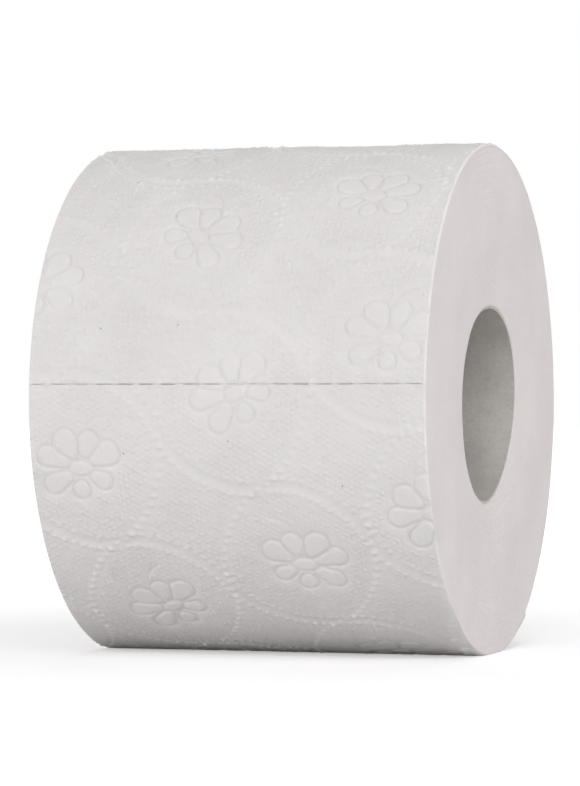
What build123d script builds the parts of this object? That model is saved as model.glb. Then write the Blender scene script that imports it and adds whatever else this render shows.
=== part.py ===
"""A toilet paper roll lying on its side, in millimetres and degrees.

X runs along the roll's axis, +Y points to the back and +Z up. The origin is on the axis of the core,
midway between the ends. Angles go round X from +Y towards +Z, so 90 is the top and 270 the bottom.
"""

import os
from math import cos, degrees, radians, sin, sqrt

from build123d import *

# Driving dimensions
roll_radius = 58.0  # outside of the outermost turn
roll_width = 90.0  # width of the sheet, and so of the roll
core_bore_radius = 23.0  # inside of the board tube
core_wall = 0.5  # thickness of the board
core_recess = 0.3  # how far the board stops short of the paper's innermost edge
glue_gap = 0.05  # glue line between the board and the first turn
turn_thickness = 0.35  # one wound turn of embossed three-ply sheet
sheet_length = 125.0  # from one perforation to the next
tail_angle = 299.7  # where the outermost sheet ends, low at the back
flat_width = 18.0  # the spot that the soft roll flattens under its own weight
rim_radius = 1.2  # rounding of the soft outer rims
rim_crest = 0.15  # how far that rounding's crest would pass outside the outermost turn
dish_depth = 1.0  # how far the end faces sink towards the core
dish_width = 14.0  # width of the ring that sinks, next to the core
slit_length = 3.9  # one cut of a perforation line
slit_bridge = 1.1  # uncut paper between two cuts
slit_width = 0.25  # how far a cut stands open

# Sizes that follow from them
core_radius = core_bore_radius + core_wall
core_length = roll_width - 2 * (dish_depth + core_recess)
paper_bore_radius = core_radius + glue_gap
flat_drop = sqrt(roll_radius**2 - (flat_width / 2) ** 2)  # from the axis down to the flat spot
sheet_angle = degrees(sheet_length / roll_radius)  # what one sheet covers on the outside
slit_pitch = slit_length + slit_bridge
slit_count = int((roll_width - 2 * rim_radius) // slit_pitch)


def around(angle, radius):
    """The point (Y, Z) at that angle and distance from the axis."""
    return radius * cos(radians(angle)), radius * sin(radians(angle))


def outside_radius(angle):
    """How far the outermost turn lies from the axis at an angle less than one turn back from the tail."""
    half_step = turn_thickness / 2
    if tail_angle - angle <= 180:
        return roll_radius
    return roll_radius - half_step * (1 + cos(radians(tail_angle - angle)))


def wound_section():
    """The roll seen along its axis. Behind the tail's edge it steps down by one turn's thickness.

    The spiral is two half circles that meet smoothly: the older one is smaller and off centre by half a step.
    """
    half_step = turn_thickness / 2
    newer_half = CenterArc((0, 0), roll_radius, tail_angle - 180, 180)
    older_half = CenterArc(around(tail_angle, -half_step), roll_radius - half_step, tail_angle, 180)
    tail_edge = Line(around(tail_angle, roll_radius - turn_thickness), around(tail_angle, roll_radius))
    return Plane.YZ * make_face([newer_half, older_half, tail_edge])


def lengthwise_section():
    """The ring cut along its axis: flat ends that sink near the core, and rounded outer rims."""
    end = roll_width / 2
    crest = roll_radius + rim_crest
    face = Polyline(
        (0, paper_bore_radius),
        (end - dish_depth, paper_bore_radius),
        (end, paper_bore_radius + dish_width),
        (end, crest - rim_radius),
    )
    rim = CenterArc((end - rim_radius, crest - rim_radius), rim_radius, 0, 90)
    outside = Polyline(rim @ 1, (0, crest), (0, paper_bore_radius))
    half = make_face([face, rim, outside])
    return half + mirror(half, about=Plane.YZ)


def perforation(angle):
    """The row of cuts through the outermost turn at an angle. Half of each block stands clear of the paper."""
    y, z = around(angle, outside_radius(angle))
    surface = Plane(origin=(0, y, z), x_dir=(1, 0, 0), z_dir=(0, y, z))
    block = Box(slit_length, slit_width, 2 * turn_thickness)
    return [surface * spot * block for spot in GridLocations(slit_pitch, 1, slit_count, 1)]


def tissue_roll():
    """All the turns of tissue as one soft ring, lying on its flat spot."""
    wound = extrude(wound_section(), amount=roll_width / 2, both=True)
    ring = wound & revolve(lengthwise_section(), axis=Axis.X)
    pressed_away = Box(2 * roll_width, flat_width, roll_radius, align=(Align.CENTER, Align.CENTER, Align.MAX))
    ring -= Pos(0, 0, -flat_drop) * pressed_away
    sheets_back = 1
    while sheets_back * sheet_angle < 360:
        ring -= perforation(tail_angle - sheets_back * sheet_angle)
        sheets_back += 1
    return ring


def core_tube():
    """The board tube that the tissue is wound on."""
    ring = Circle(core_radius) - Circle(core_bore_radius)
    return extrude(Plane.YZ * ring, amount=core_length / 2, both=True)


os.makedirs("parts", exist_ok=True)
for name, solid in (("core_tube", core_tube()), ("tissue_roll", tissue_roll())):
    solid.label = name
    export_step(solid, f"parts/{name}.step")
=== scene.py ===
"""The looks of a toilet paper roll lying on its side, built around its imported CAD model.

Mesh code works in millimetres, and add_piece turns them into metres. X runs along the roll, and the end
that the camera sees is at +X. A place on the outermost turn is (x, s): s is the arc length round the
roll, 0 on its front line and growing downwards, so the winding ends at TAIL, low at the back.
"""

import math

import bpy
import numpy as np
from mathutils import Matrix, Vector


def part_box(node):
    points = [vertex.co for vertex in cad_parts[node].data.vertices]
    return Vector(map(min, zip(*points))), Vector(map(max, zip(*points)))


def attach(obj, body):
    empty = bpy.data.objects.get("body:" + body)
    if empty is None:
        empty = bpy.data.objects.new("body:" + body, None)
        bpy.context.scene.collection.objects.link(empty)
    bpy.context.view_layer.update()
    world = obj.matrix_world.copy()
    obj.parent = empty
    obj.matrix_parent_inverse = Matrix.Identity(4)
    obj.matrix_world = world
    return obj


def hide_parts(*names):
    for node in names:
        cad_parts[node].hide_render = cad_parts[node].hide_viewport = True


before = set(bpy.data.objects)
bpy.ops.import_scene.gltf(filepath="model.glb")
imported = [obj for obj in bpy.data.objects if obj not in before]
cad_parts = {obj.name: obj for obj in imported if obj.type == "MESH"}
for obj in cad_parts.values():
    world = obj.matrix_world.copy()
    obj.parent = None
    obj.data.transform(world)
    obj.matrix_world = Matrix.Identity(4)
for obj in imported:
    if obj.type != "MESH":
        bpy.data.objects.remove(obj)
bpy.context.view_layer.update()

MM = 0.001

# Sizes of the roll, read from the frame
roll_low, roll_high = (np.array(corner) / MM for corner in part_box("tissue_roll"))
core_low, core_high = (np.array(corner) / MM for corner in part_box("core_tube"))
WIDTH = roll_high[0] - roll_low[0]
RADIUS = -roll_low[1]
FLAT_Z = roll_low[2]
CORE_RADIUS = core_high[2]
CORE_END = core_high[0]

# Sizes that the frame's boxes don't tell
TURN = 0.35  # thickness of one wound turn
SHEET = 125.0  # from one perforation to the next
TAIL_DEGREES = 120.1  # where the winding ends, below the front line
CORE_WALL = 0.5
GLUE = 0.05  # between the board and the first turn
DISH_DEPTH, DISH_WIDTH = 1.0, 14.0  # how the ends sink next to the core
RIM, RIM_DROP = 0.5, 0.35  # rounding of the rims: its width along the roll, and its depth

ROUND = 2 * math.pi * RADIUS
TAIL = RADIUS * math.radians(TAIL_DEGREES)

# Grid of the outermost turn. The fine dots stand on its vertices.
ROWS_PER_SHEET = 388
FLAT_COLUMNS, RIM_COLUMNS = 240, 6
ROW = SHEET / ROWS_PER_SHEET
COLUMN = (WIDTH - 2 * RIM) / FLAT_COLUMNS
DOT_ROWS, DOT_COLUMNS = 4, 3  # grid steps from dot to dot, round the roll and from line to line

# Embossing, in heights over the plain sheet
DOT_HEIGHT = 0.42
GROOVE_DEPTH, GROOVE_WIDTH = 0.34, 0.34  # the petals' outlines
PETAL_DOME = 0.07
BAND_DEPTH, BAND_WIDTH = 0.1, 0.8  # the smooth channels between flowers


# ---------------------------------------------------------------- embossed pattern

REPEAT = 128.6  # of the whole pattern, round the roll
ACROSS = np.array([34.35, -13.7])  # from one flower to the next along the roll, as (x, s)
AROUND = (np.array([0.0, REPEAT]) + ACROSS) / 3  # and round it
MIDDLE = np.array([2.0, 0.0])

# One repeat of flowers: x, s, turn in degrees, mirrored
FLOWERS = (
    (27.2, -51.4, -4, True),
    (-10.2, -39.1, -32, True),
    (-45.0, -26.3, -3, True),
    (36.6, -13.2, 0, False),
    (2.6, -1.3, 31, False),
    (-33.5, 15.3, 0, False),
    (45.4, 24.7, 31, False),
    (14.5, 38.7, -3, True),
    (-19.5, 53.1, 31, False),
)
# Petals: direction in degrees, distance of the tip from the middle, width
PETALS = (
    (159, 10.5, 5.0),
    (119, 9.8, 5.7),
    (70, 8.9, 4.9),
    (28, 10.2, 5.8),
    (-29, 7.9, 4.2),
    (-93, 7.0, 4.1),
    (-151, 9.8, 4.9),
)
PETAL_FOOT, FOOT_RADIUS = 4.0, 1.5
HEART = (3.0, 1.8)  # half sizes of the oval in the middle
STALK = ((1.2, 9.1), (2.9, 10.9), (4.8, 11.6), (7.0, 12.0))


def smooth_step(low, high, value):
    t = np.clip((value - low) / (high - low), 0, 1)
    return t * t * (3 - 2 * t)


def ridge(distance, width):
    """1 on a line and falling to 0 on both sides."""
    return np.exp(-((distance / width) ** 2))


def waves(x, s, lengths, seed):
    """Gentle unevenness from -1 to 1, the same each run: a few crossing waves that close round the roll."""
    draw = np.random.default_rng(seed)
    total = np.zeros(np.broadcast(x, s).shape)
    for length in lengths:
        for _ in range(3):
            lean = draw.uniform(0, math.pi)
            turns = round(ROUND * math.sin(lean) / length)
            phase = draw.uniform(0, 2 * math.pi)
            total += np.sin(2 * math.pi * (x * math.cos(lean) / length + s * turns / ROUND) + phase)
    return total / (3 * len(lengths))


def path_distance(px, py, points):
    """Distance from each point (px, py) to a line through the given points."""
    best = np.full(np.shape(px), np.inf)
    for (ax, ay), (bx, by) in zip(points, points[1:]):
        dx, dy = bx - ax, by - ay
        t = np.clip(((px - ax) * dx + (py - ay) * dy) / (dx * dx + dy * dy), 0, 1)
        best = np.minimum(best, np.hypot(px - ax - t * dx, py - ay - t * dy))
    return best


def petal_distance(px, py, direction, tip, width):
    """Signed distance to one petal: a drop shape, round at the tip and narrow at its foot."""
    angle = math.radians(direction)
    along = px * math.cos(angle) + py * math.sin(angle) - PETAL_FOOT
    side = np.abs(py * math.cos(angle) - px * math.sin(angle))
    height = tip - width / 2 - PETAL_FOOT
    lean = (FOOT_RADIUS - width / 2) / height
    upright = math.sqrt(1 - lean * lean)
    level = along * upright - side * lean
    foot = np.hypot(side, along) - FOOT_RADIUS
    head = np.hypot(side, along - height) - width / 2
    flank = side * upright + along * lean - FOOT_RADIUS
    return np.where(level < 0, foot, np.where(level > upright * height, head, flank))


def flower(px, py):
    """Height of one flower about its middle, and how far each point lies outside its outline."""
    shapes = [petal_distance(px, py, *petal) for petal in PETALS]
    heart = (np.hypot(px / HEART[0], py / HEART[1]) - 1) * min(HEART)
    nearest, second = np.sort(np.stack(shapes + [heart]), axis=0)[:2]
    outline = np.maximum(nearest, (nearest - second) / 2)
    height = PETAL_DOME * (1 - np.exp(np.minimum(outline, 0) / 0.6))
    height -= GROOVE_DEPTH * ridge(outline, GROOVE_WIDTH)
    stalk = path_distance(px, py, STALK)
    height -= 0.6 * GROOVE_DEPTH * ridge(stalk, 0.8 * GROOVE_WIDTH)
    return height, np.minimum(nearest, stalk + 0.6)


def medallion(x, s):
    """The band round the nearest flower: signed distance from it, and which kind of band side it is, from the signs
    of u along and v round.
    """
    basis = np.linalg.inv(np.stack([ACROSS, AROUND], axis=1))
    dx, ds = x - MIDDLE[0], s - MIDDLE[1]
    u = basis[0, 0] * dx + basis[0, 1] * ds
    v = basis[1, 0] * dx + basis[1, 1] * ds
    best = np.full(np.shape(u), np.inf)
    kind = np.zeros(np.shape(u))
    base_u, base_v = np.floor(u), np.floor(v)
    for corner_u in (0, 1):
        for corner_v in (0, 1):
            pu, pv = 2 * (u - base_u - corner_u), 2 * (v - base_v - corner_v)
            size = (np.abs(pu) ** BOW + np.abs(pv) ** BOW + 1e-9) ** (1 / BOW)
            slope_u = 2 * np.sign(pu) * (np.abs(pu) / size) ** (BOW - 1)
            slope_v = 2 * np.sign(pv) * (np.abs(pv) / size) ** (BOW - 1)
            gradient = np.hypot(
                slope_u * basis[0, 0] + slope_v * basis[1, 0], slope_u * basis[0, 1] + slope_v * basis[1, 1]
            )
            distance = (size - 1) / np.maximum(gradient, 1e-6)
            nearer = np.abs(distance) < np.abs(best)
            best = np.where(nearer, distance, best)
            kind = np.where(nearer, np.sign(pu) * np.sign(pv), kind)
    return best, kind


BOW = 1.6  # 1 makes the bands straight between their corners, 2 makes them ovals


def band_points(spacing, offset, kind):
    """Points at equal spacing along the bands of one kind, set off sideways from the line."""
    angle = np.linspace(0, 2 * math.pi, 721)
    u = np.sign(np.cos(angle)) * np.abs(np.cos(angle)) ** (2 / BOW) / 2
    v = np.sign(np.sin(angle)) * np.abs(np.sin(angle)) ** (2 / BOW) / 2
    line = u[:, None] * ACROSS + v[:, None] * AROUND
    found = []
    for quarter in range(4):
        part = line[quarter * 180 : quarter * 180 + 181]
        if (1 if quarter % 2 == 0 else -1) != kind:
            continue
        lengths = np.concatenate([[0], np.cumsum(np.hypot(*np.diff(part, axis=0).T))])
        count = int(lengths[-1] // spacing)
        at = (np.arange(count) + 0.5) * lengths[-1] / count
        points = np.stack([np.interp(at, lengths, part[:, axis]) for axis in (0, 1)], axis=1)
        outward = points / np.hypot(*points.T)[:, None]
        found.append(points + offset * outward)
    return np.concatenate(found)


def lay_studs(height, x, s, points, radius, tall):
    """Adds a round stud to the grid of heights at each point and at its repeats over the lattice."""
    reach = 2.2 * radius
    step_back = np.arange(-8, 9)
    for i in step_back:
        for j in step_back:
            for px, ps in points + MIDDLE + i * ACROSS + j * AROUND:
                if abs(px) > WIDTH / 2 or not s[0] - reach < ps < s[-1] + reach:
                    continue
                rows = slice(*np.searchsorted(s, (ps - reach, ps + reach)))
                columns = slice(*np.searchsorted(x, (px - reach, px + reach)))
                away = np.hypot(x[None, columns] - px, s[rows, None] - ps)
                height[rows, columns] += tall * ridge(away, radius)


def fine_dots(x, s):
    """Fine dots in staggered lines round the roll, no two of quite the same height."""
    line = (x + WIDTH / 2 - RIM) / (DOT_COLUMNS * COLUMN)
    place = (s - TAIL) / (DOT_ROWS * ROW)
    dots = (2 * np.cos(2 * math.pi * place) * np.cos(math.pi * line) + np.cos(2 * math.pi * line) + 1.5) / 4.5
    even_line, even_place = 2 * np.round(line / 2), np.round(place)
    odd_line, odd_place = 2 * np.round((line - 1) / 2) + 1, np.round(place - 0.5) + 0.5
    even_away = np.hypot(line - even_line, place - even_place)
    odd_away = np.hypot(line - odd_line, place - odd_place)
    own_line = np.where(even_away < odd_away, even_line, odd_line).astype(int)
    own_place = np.where(even_away < odd_away, even_place, odd_place)
    share = np.random.default_rng(5).uniform(0.45, 1.2, (97, 331))
    strength = share[own_line % 97, np.floor(own_place).astype(int) % 331]
    strength = strength * (0.85 + 0.3 * waves(x, s, (18, 31), 5))
    return DOT_HEIGHT * strength * dots**1.5


def emboss(x, s):
    """Heights of the embossing on the grid of places x along the roll and s round it."""
    grid_x, grid_s = np.meshgrid(x, s)
    height = np.zeros(grid_x.shape)
    plain = np.ones(grid_x.shape)  # where the fine dots stand

    band, kind = medallion(grid_x, grid_s)
    channel = (kind < 0) * ridge(band, BAND_WIDTH)
    height -= BAND_DEPTH * channel
    plain *= smooth_step(0.9, 2.1, np.abs(band))

    reach = 16.0
    for middle_x, middle_s, turn, mirrored in FLOWERS:
        for repeat in range(-3, 3):
            at = middle_s + repeat * REPEAT
            rows = slice(*np.searchsorted(s, (at - reach, at + reach)))
            columns = slice(*np.searchsorted(x, (middle_x - reach, middle_x + reach)))
            if rows.start == rows.stop:
                continue
            dx, dy = grid_x[rows, columns] - middle_x, at - grid_s[rows, columns]
            angle = math.radians(turn)
            px = dx * math.cos(angle) + dy * math.sin(angle)
            py = dy * math.cos(angle) - dx * math.sin(angle)
            shape, outside = flower(-px if mirrored else px, py)
            height[rows, columns] += shape
            plain[rows, columns] *= smooth_step(0.5, 2.0, outside)

    lay_studs(height, x, s, band_points(1.95, 1.5, -1), 0.5, 0.32)
    lay_studs(height, x, s, band_points(1.95, -1.5, -1), 0.5, 0.28)
    lay_studs(height, x, s, band_points(2.2, 0.0, 1), 0.55, 0.34)

    return height + plain * fine_dots(grid_x, grid_s)


# ---------------------------------------------------------------- meshes


def add_piece(name, points, quads, caps=(), flat_quads=0):
    """Makes a mesh object from points in millimetres. The last flat_quads quads, and the caps, are shaded flat."""
    mesh = bpy.data.meshes.new(name)
    quads = np.asarray(quads, np.int32)
    sizes = np.concatenate([np.full(len(quads), 4), [len(cap) for cap in caps]]).astype(np.int32)
    corners = np.concatenate([quads.ravel(), *caps]).astype(np.int32)
    mesh.vertices.add(len(points))
    mesh.vertices.foreach_set("co", (np.asarray(points) * MM).astype(np.float32).ravel())
    mesh.loops.add(len(corners))
    mesh.loops.foreach_set("vertex_index", corners)
    mesh.polygons.add(len(sizes))
    mesh.polygons.foreach_set("loop_start", np.concatenate([[0], np.cumsum(sizes)[:-1]]).astype(np.int32))
    smooth = np.arange(len(sizes)) < len(quads) - flat_quads
    mesh.update(calc_edges=True)
    mesh.polygons.foreach_set("use_smooth", smooth)
    mesh.update()
    piece = bpy.data.objects.new(name, mesh)
    bpy.context.scene.collection.objects.link(piece)
    return piece


def grid_quads(rows, columns, across_closed=False, along_closed=False):
    """Quads between the points of a rows by columns grid, numbered row by row."""
    numbers = np.arange(rows * columns).reshape(rows, columns)
    if along_closed:
        numbers = np.concatenate([numbers, numbers[:1]])
    if across_closed:
        numbers = np.concatenate([numbers, numbers[:, :1]], axis=1)
    a, b = numbers[:-1, :-1], numbers[:-1, 1:]
    c, d = numbers[1:, 1:], numbers[1:, :-1]
    return np.stack([a, b, c, d], axis=-1).reshape(-1, 4)


def on_roll(x, s, radius):
    """Points in the row frame, pressed flat where the roll rests."""
    angle = s / RADIUS
    y = -radius * np.cos(angle)
    z = np.maximum(-radius * np.sin(angle), FLAT_Z)
    return np.stack(np.broadcast_arrays(x, y, z), axis=-1)


def turn_radius(s):
    """Outside of the plain sheet: it spirals down by one turn's thickness behind the tail."""
    return RADIUS - TURN * (TAIL - s) / ROUND


def rim_at(s, x):
    """Width of the rims' rounding: the shown end is crushed where it has been leaned on."""
    crushed = 2.4 * ridge((s - CRUSH_MIDDLE + ROUND / 2) % ROUND - ROUND / 2, CRUSH_LENGTH)
    return RIM + crushed * (x > 0)


CRUSH_MIDDLE, CRUSH_LENGTH = 72.0, 24.0


def perforation_gap(x):
    """How far each side of a perforation stands back: open at the cuts, closed at the bridges between."""
    cut, bridge = 3.9, 1.1
    phase = (x + WIDTH / 2) % (cut + bridge)
    inside = smooth_step(0.2, 0.5, phase - bridge / 2) * smooth_step(0.2, 0.5, cut + bridge / 2 - phase)
    return inside * (0.05 + 0.09 * ridge(x - 6, 30))


def sheet_piece(name, start, end, is_tail=False, hidden_start=0.0):
    """One sheet of the outermost turn as a closed slab with its embossing, from start to end round the roll."""
    rows = round((end - start + hidden_start) / ROW)
    s = end - np.arange(rows, -1, -1) * ROW
    side = np.linspace(0, 1, RIM_COLUMNS + 1)[1:] * RIM
    x = np.concatenate(
        [-WIDTH / 2 + RIM - side[::-1], np.linspace(-WIDTH / 2 + RIM, WIDTH / 2 - RIM, FLAT_COLUMNS + 1), WIDTH / 2 - RIM + side]
    )
    height = emboss(x, s)
    grid_x, grid_s = np.meshgrid(x, s)

    rim = rim_at(grid_s, grid_x)
    over = np.clip((np.abs(grid_x) - WIDTH / 2 + rim) / rim, 0, 1) * math.pi / 2
    drop = RIM_DROP * (1 - np.cos(over))
    place_x = np.sign(grid_x) * np.where(over > 0, WIDTH / 2 - rim + rim * np.sin(over), np.abs(grid_x))
    height *= 1 - smooth_step(0.1, 0.9, over / (math.pi / 2))

    radius = turn_radius(grid_s) + height - drop + 0.12 * waves(grid_x, grid_s, (22, 35, 60), 11)
    radius += 0.14 * ridge(path_distance(grid_x, grid_s, WRINKLE), 0.3)
    around = grid_s.copy()
    if is_tail:
        bridge = 1 - perforation_gap(x) / perforation_gap(x).max()
        around[-1] += 0.35 * bridge + 0.08 * waves(x, 0 * x, (2.3, 4.1), 3)
        lifted = smooth_step(-9, 0, s - TAIL)[:, None]
        radius += lifted * (0.5 + 0.25 * waves(grid_x, 0 * grid_s, (40, 70), 8))
    else:
        around[-1] -= perforation_gap(x)
        radius[-1] -= perforation_gap(x)
    if not hidden_start:
        around[0] += perforation_gap(x)
        radius[0] -= perforation_gap(x)

    top = on_roll(place_x, around, radius)
    columns = len(x)
    inner = turn_radius(s) - TURN
    if is_tail:
        inner += 0.5 * smooth_step(-9, 0, s - TAIL)
    left = on_roll(-WIDTH / 2 + RIM, around[:, 0], inner - RIM_DROP)
    right = on_roll(WIDTH / 2 - RIM, around[:, -1], inner - RIM_DROP)
    points = np.concatenate([top.reshape(-1, 3), left, right])

    quads = grid_quads(rows + 1, columns)
    number = np.arange(rows + 1)
    first, last = number * columns, number * columns + columns - 1
    left_number = (rows + 1) * columns + number
    right_number = left_number + rows + 1
    strips = [(left_number, first), (last, right_number), (right_number, left_number)]
    walls = [np.stack([a[:-1], b[:-1], b[1:], a[1:]], axis=1) for a, b in strips]
    top_row = np.arange(columns)
    caps = [
        np.concatenate([[right_number[0], left_number[0]][::1], top_row])[::-1],
        np.concatenate([top_row + rows * columns, [right_number[-1], left_number[-1]]]),
    ]
    quads = np.concatenate([quads, *walls])
    return add_piece(name, points, quads, caps, 3 * rows)


# A faint crease in the paper, running round the roll
WRINKLE = ((-35.7, 22.1), (-32.3, 25.5), (-31.4, 34.0), (-31.0, 47.2))


def out_of_round(angle):
    """How far the core and the turns next to it are pressed out of round, by angle below the front line."""
    return (
        -0.5
        + 0.62 * np.cos(angle - math.radians(45.7))
        + 1.54 * np.cos(2 * (angle - math.radians(27.1)))
        - 0.59 * np.cos(3 * (angle - math.radians(15.6)))
    )


def wound_turns():
    """All the turns below the outermost one as a ring, with the turns' edges showing at both ends."""
    columns = 360
    s = TAIL - np.arange(columns) * ROUND / columns
    angle = s / RADIUS
    bore = CORE_RADIUS + GLUE + out_of_round(angle)
    rings = 100
    share = np.linspace(0, 1, rings)[:, None]
    draw = np.random.default_rng(21)
    profile = []
    for end in (1, -1):
        outer = turn_radius(s) - RIM_DROP + 0.05
        radius = bore + share * (outer - bore)
        dish = DISH_DEPTH * (1 - np.clip((radius - bore) / DISH_WIDTH, 0, 1))
        number = (radius - CORE_RADIUS) / TURN + s / ROUND
        edge = np.interp(number, np.arange(-5, 120), draw.normal(0, 0.02, 125))
        edge += 0.06 * waves(radius * np.cos(angle), radius * np.sin(angle), (17, 29), 13 + end)
        x = end * (WIDTH / 2 - 0.06 - dish + np.minimum(edge, 0.06))
        points = np.stack([x, -radius * np.cos(angle), -radius * np.sin(angle)], axis=-1)
        shoulder = on_roll(end * (WIDTH / 2 - RIM), s, turn_radius(s) - RIM_DROP - 0.5)
        profile.append((points, shoulder[None]))
    (right, right_shoulder), (left, left_shoulder) = profile
    rows = np.concatenate([right, right_shoulder, left_shoulder, left[::-1]])
    rows[..., 2] = np.maximum(rows[..., 2], FLAT_Z + 0.05)
    quads = grid_quads(len(rows), columns, across_closed=True, along_closed=True)
    return add_piece("wound_turns", rows.reshape(-1, 3), quads)


def core_board():
    """The board tube, pressed out of round with the paper on it."""
    columns, rows = 240, 60
    angle = np.linspace(0, 2 * math.pi, columns, endpoint=False)
    along = np.linspace(-CORE_END, CORE_END, rows)[:, None]
    outer = CORE_RADIUS + out_of_round(angle)
    inner = outer - CORE_WALL + 0.04 * waves(along, angle * CORE_RADIUS, (9, 23), 31)
    shell = []
    for x, radius in ((along, inner), (along[::-1], np.broadcast_to(outer, inner.shape))):
        y, z = -radius * np.cos(angle), -radius * np.sin(angle)
        shell.append(np.stack(np.broadcast_arrays(x, y, z), axis=-1))
    points = np.concatenate(shell)
    quads = grid_quads(2 * rows, columns, across_closed=True, along_closed=True)
    piece = add_piece("core_board", points.reshape(-1, 3), quads)
    piece.data.set_sharp_from_angle(angle=math.radians(50))
    return piece


# ---------------------------------------------------------------- materials


class Shader:
    """A material under construction: short ways to add nodes to its tree."""

    def __init__(self, name):
        self.material = bpy.data.materials.new(name)
        self.material.use_nodes = True
        self.tree = self.material.node_tree
        self.principled = self.tree.nodes["Principled BSDF"]
        self.place = self.add("ShaderNodeTexCoord").outputs["Object"]

    def add(self, kind, links=None, **settings):
        node = self.tree.nodes.new(kind)
        for key, value in settings.items():
            setattr(node, key, value)
        for key, value in (links or {}).items():
            self.feed(node.inputs[key], value)
        return node

    def feed(self, socket, value):
        if isinstance(value, bpy.types.NodeSocket):
            self.tree.links.new(value, socket)
        else:
            socket.default_value = value

    def math(self, operation, a, b=0.0, c=0.0, clamp=False):
        node = self.add("ShaderNodeMath", {0: a, 1: b, 2: c}, operation=operation, use_clamp=clamp)
        return node.outputs[0]

    def noise(self, scale, detail=3.0, place=None, roughness=0.55):
        links = {"Vector": place or self.place, "Scale": scale, "Detail": detail, "Roughness": roughness}
        return self.add("ShaderNodeTexNoise", links).outputs["Fac"]

    def ramp(self, value, low, high, out_low=0.0, out_high=1.0):
        links = {"Value": value, "From Min": low, "From Max": high, "To Min": out_low, "To Max": out_high}
        return self.add("ShaderNodeMapRange", links).outputs["Result"]

    def mix(self, share, a, b, blend="MIX"):
        node = self.add("ShaderNodeMix", data_type="RGBA", blend_type=blend)
        for socket, value in ((node.inputs[0], share), (node.inputs[6], a), (node.inputs[7], b)):
            self.feed(socket, value)
        return node.outputs[2]

    def bump(self, height, distance, strength=1.0, below=None):
        links = {"Height": height, "Distance": distance, "Strength": strength}
        if below:
            links["Normal"] = below
        return self.add("ShaderNodeBump", links).outputs["Normal"]

    def finish(self, colour, normal, roughness):
        self.feed(self.principled.inputs["Base Color"], colour)
        self.feed(self.principled.inputs["Normal"], normal)
        self.principled.inputs["Roughness"].default_value = roughness
        self.principled.inputs["Specular IOR Level"].default_value = 0.2
        return self.material


def specks(shader, scale, size, share):
    """1 on small round specks: a few of the cells of a Voronoi pattern hold one."""
    cell = shader.add("ShaderNodeTexVoronoi", {"Vector": shader.place, "Scale": scale})
    picked = shader.math("LESS_THAN", shader.add("ShaderNodeSeparateColor", {0: cell.outputs["Color"]}).outputs[0], share)
    near = shader.ramp(cell.outputs["Distance"], size, 0.6 * size)
    return shader.math("MULTIPLY", picked, near)


def tissue_material():
    """White embossed tissue: soft fibres, faint clouding, a few dark specks."""
    shader = Shader("tissue_face")
    cloud = shader.noise(60.0, 4.0)
    white = shader.mix(shader.ramp(cloud, 0.35, 0.65), (0.86, 0.835, 0.825, 1), (0.895, 0.87, 0.86, 1))
    speck = specks(shader, 170.0, 0.045, 0.4)
    colour = shader.mix(shader.math("MULTIPLY", speck, 0.6), white, (0.22, 0.2, 0.18, 1))
    fibres = shader.noise(2600.0, 4.0, roughness=0.65)
    lumps = shader.noise(750.0, 2.0)
    normal = shader.bump(fibres, 0.0003, 0.7)
    normal = shader.bump(lumps, 0.0002, 0.4, normal)
    return shader.finish(colour, normal, 0.95)


def wound_place(shader):
    """Coordinates on the roll's ends: number of turns out from the axis, and way round."""
    parts = shader.add("ShaderNodeSeparateXYZ", {0: shader.place}).outputs
    square = shader.math("MULTIPLY_ADD", parts[1], parts[1], shader.math("MULTIPLY", parts[2], parts[2]))
    radius = shader.math("SQRT", square)
    angle = shader.math("ARCTAN2", parts[2], parts[1])
    turns = shader.math("MULTIPLY_ADD", radius, 1 / (TURN * MM), shader.math("DIVIDE", angle, 2 * math.pi))
    return radius, angle, turns, parts[0]


def wound_material():
    """The cut ends of the turns: fine rings with short dark gaps of painted shade between the turns, on paper painted
    a little greyer than the sheet as painted shade on the ends.
    """
    shader = Shader("tissue_edges")
    radius, angle, turns, x = wound_place(shader)
    arc = shader.math("MULTIPLY", shader.math("MULTIPLY", angle, radius), 1 / MM)
    stretched = shader.add("ShaderNodeCombineXYZ", {0: turns, 1: shader.math("MULTIPLY", arc, 0.16), 2: x}).outputs[0]
    strands = shader.noise(1.0, 2.0, stretched, 0.6)
    grain = shader.noise(1900.0, 3.0)
    # painted shade: the dark gaps stand in for the shadows between the turns
    painted_shade_gaps = shader.ramp(strands, 0.36, 0.24)
    cloud = shader.noise(45.0, 3.0)
    # painted shade: the ends' paper is a little darker than the sheet's own colour
    paper = shader.mix(shader.ramp(cloud, 0.35, 0.65), (0.79, 0.735, 0.735, 1), (0.83, 0.775, 0.775, 1))
    colour = shader.mix(shader.math("MULTIPLY", painted_shade_gaps, 0.16), paper, (0.45, 0.42, 0.42, 1))
    normal = shader.bump(strands, 0.0003, 0.8)
    normal = shader.bump(grain, 0.0003, 0.8, normal)
    return shader.finish(colour, normal, 0.95)


def board_material():
    """Grey recycled board with flecks and short fibres."""
    shader = Shader("grey_board")
    cloud = shader.noise(90.0, 5.0)
    fleck = shader.noise(1300.0, 3.0, roughness=0.7)
    grey = shader.mix(shader.ramp(cloud, 0.3, 0.7), (0.5, 0.475, 0.45, 1), (0.6, 0.575, 0.55, 1))
    colour = shader.mix(shader.ramp(fleck, 0.56, 0.72, 0, 0.5), grey, (0.36, 0.33, 0.3, 1))
    colour = shader.mix(shader.ramp(fleck, 0.44, 0.3, 0, 0.4), colour, (0.72, 0.7, 0.68, 1))
    speck = specks(shader, 150.0, 0.045, 0.1)
    colour = shader.mix(shader.math("MULTIPLY", speck, 0.8), colour, (0.06, 0.05, 0.05, 1))
    normal = shader.bump(fleck, 0.0002, 0.6)
    return shader.finish(colour, normal, 0.9)


# ---------------------------------------------------------------- the object


def dress(piece, material, node):
    """Gives a piece its material, hangs it under the root body and hides the CAD part it stands in for."""
    piece.data.materials.append(material)
    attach(piece, "root")
    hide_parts(node)


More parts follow.
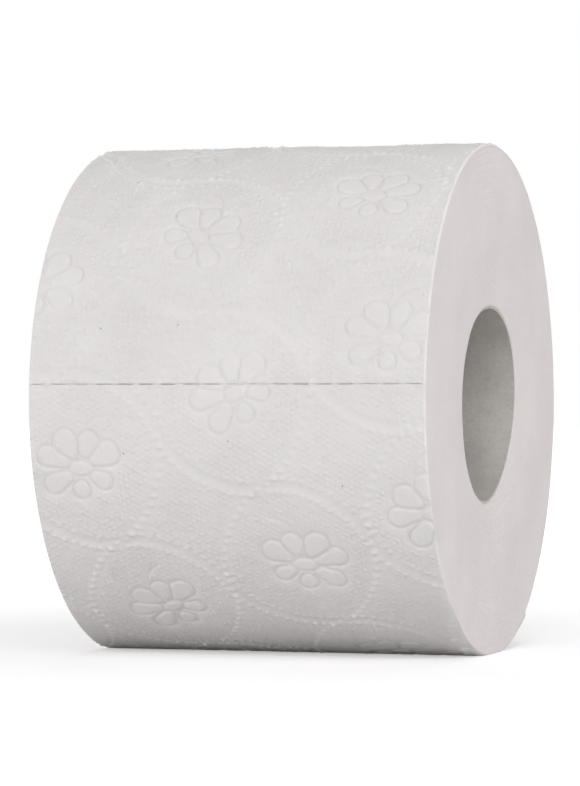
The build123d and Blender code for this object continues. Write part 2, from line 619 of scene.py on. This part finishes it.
tissue = tissue_material()
first_perforation = TAIL - SHEET
second_perforation = first_perforation - SHEET
turn_start = TAIL - ROUND
dress(sheet_piece("sheet_1", first_perforation, TAIL, is_tail=True), tissue, "tissue_roll")
dress(sheet_piece("sheet_2", second_perforation, first_perforation), tissue, "tissue_roll")
dress(sheet_piece("sheet_3", turn_start, second_perforation, hidden_start=4.0), tissue, "tissue_roll")
dress(wound_turns(), wound_material(), "tissue_roll")
dress(core_board(), board_material(), "core_tube")


# ---------------------------------------------------------------- stage


def add_floor():
    """A plain white floor that goes over into the white background, and keeps the roll's shadow."""
    half = 6.0
    mesh = bpy.data.meshes.new("floor")
    corners = [(-half, -half, 0), (half, -half, 0), (half, half, 0), (-half, half, 0)]
    mesh.from_pydata(corners, [], [(0, 1, 2, 3)])
    floor = bpy.data.objects.new("floor", mesh)
    floor.location.z = FLAT_Z * MM
    bpy.context.scene.collection.objects.link(floor)
    material = bpy.data.materials.new("floor")
    material.use_nodes = True
    tree = material.node_tree
    tree.nodes.clear()
    diffuse = tree.nodes.new("ShaderNodeBsdfDiffuse")
    diffuse.inputs["Color"].default_value = (0.82, 0.82, 0.82, 1)
    glow = tree.nodes.new("ShaderNodeEmission")
    path = tree.nodes.new("ShaderNodeLightPath")
    seen = tree.nodes.new("ShaderNodeMath")
    seen.operation = "MULTIPLY"
    place = tree.nodes.new("ShaderNodeTexCoord")
    away = tree.nodes.new("ShaderNodeVectorMath")
    away.operation = "LENGTH"
    whiter = tree.nodes.new("ShaderNodeMapRange")
    whiter.inputs["From Min"].default_value = 0.1
    whiter.inputs["From Max"].default_value = 0.7
    whiter.inputs["To Min"].default_value = 0.4
    whiter.inputs["To Max"].default_value = 1.0
    tree.links.new(place.outputs["Object"], away.inputs[0])
    tree.links.new(away.outputs["Value"], whiter.inputs["Value"])
    tree.links.new(whiter.outputs["Result"], seen.inputs[1])
    together = tree.nodes.new("ShaderNodeAddShader")
    output = tree.nodes.new("ShaderNodeOutputMaterial")
    tree.links.new(path.outputs["Is Camera Ray"], seen.inputs[0])
    tree.links.new(seen.outputs[0], glow.inputs["Strength"])
    tree.links.new(diffuse.outputs[0], together.inputs[0])
    tree.links.new(glow.outputs[0], together.inputs[1])
    tree.links.new(together.outputs[0], output.inputs["Surface"])
    mesh.materials.append(material)


def add_world(level):
    """Even white light from all round. Straight views of it, and mirrored ones, are plain white."""
    world = bpy.data.worlds.new("studio")
    world.use_nodes = True
    tree = world.node_tree
    background = tree.nodes["Background"]
    path = tree.nodes.new("ShaderNodeLightPath")
    either = tree.nodes.new("ShaderNodeMath")
    either.operation = "MAXIMUM"
    any_ray = tree.nodes.new("ShaderNodeMath")
    any_ray.operation = "MAXIMUM"
    strength = tree.nodes.new("ShaderNodeMapRange")
    strength.inputs["To Min"].default_value = level
    strength.inputs["To Max"].default_value = 1.0
    tree.links.new(path.outputs["Is Camera Ray"], either.inputs[0])
    tree.links.new(path.outputs["Is Glossy Ray"], either.inputs[1])
    tree.links.new(either.outputs[0], any_ray.inputs[0])
    tree.links.new(path.outputs["Is Transmission Ray"], any_ray.inputs[1])
    tree.links.new(any_ray.outputs[0], strength.inputs["Value"])
    tree.links.new(strength.outputs["Result"], background.inputs["Strength"])
    background.inputs["Color"].default_value = (1, 1, 1, 1)
    bpy.context.scene.world = world


def add_softbox(name, position, size, power, colour=(1, 1, 1)):
    """A square area lamp that faces the middle of the roll."""
    lamp = bpy.data.lights.new(name, "AREA")
    lamp.size = size
    lamp.energy = power
    lamp.color = colour
    holder = bpy.data.objects.new(name, lamp)
    holder.location = position
    aim = -holder.location.normalized()
    holder.rotation_euler = aim.to_track_quat("-Z", "Y").to_euler()
    bpy.context.scene.collection.objects.link(holder)


def add_camera():
    """The photograph's view: from the front, level with the roll's axis, turned towards the shown end."""
    azimuth = math.radians(17.49)
    distance = 0.8332
    data = bpy.data.cameras.new("camera")
    data.sensor_width = 36.0
    data.lens = 166.0
    data.shift_x = -0.0184
    data.shift_y = 0.0089
    data.clip_start = 0.05
    data.clip_end = 50.0
    camera = bpy.data.objects.new("camera", data)
    camera.location = (distance * math.sin(azimuth), -distance * math.cos(azimuth), 0)
    camera.rotation_euler = (math.pi / 2, 0, azimuth)
    bpy.context.scene.collection.objects.link(camera)
    bpy.context.scene.camera = camera


add_floor()
add_world(0.32)
add_softbox("front", (0.1, -1.4, 0.1), 0.3, 1.8)
add_softbox("left", (-1.3, -0.5, 0.1), 0.3, 5.2)
add_softbox("key", (0.42, -1.16, 0.66), 0.6, 3.4)
add_softbox("high", (0.3, -0.8, 1.1), 0.7, 1.4)
add_softbox("overhead", (0.0, 0.5, 1.25), 1.0, 3.0)
add_softbox("side", (1.4, -0.3, 0.2), 0.9, 9.4)
add_camera()
bpy.context.scene.view_settings.view_transform = "Standard"
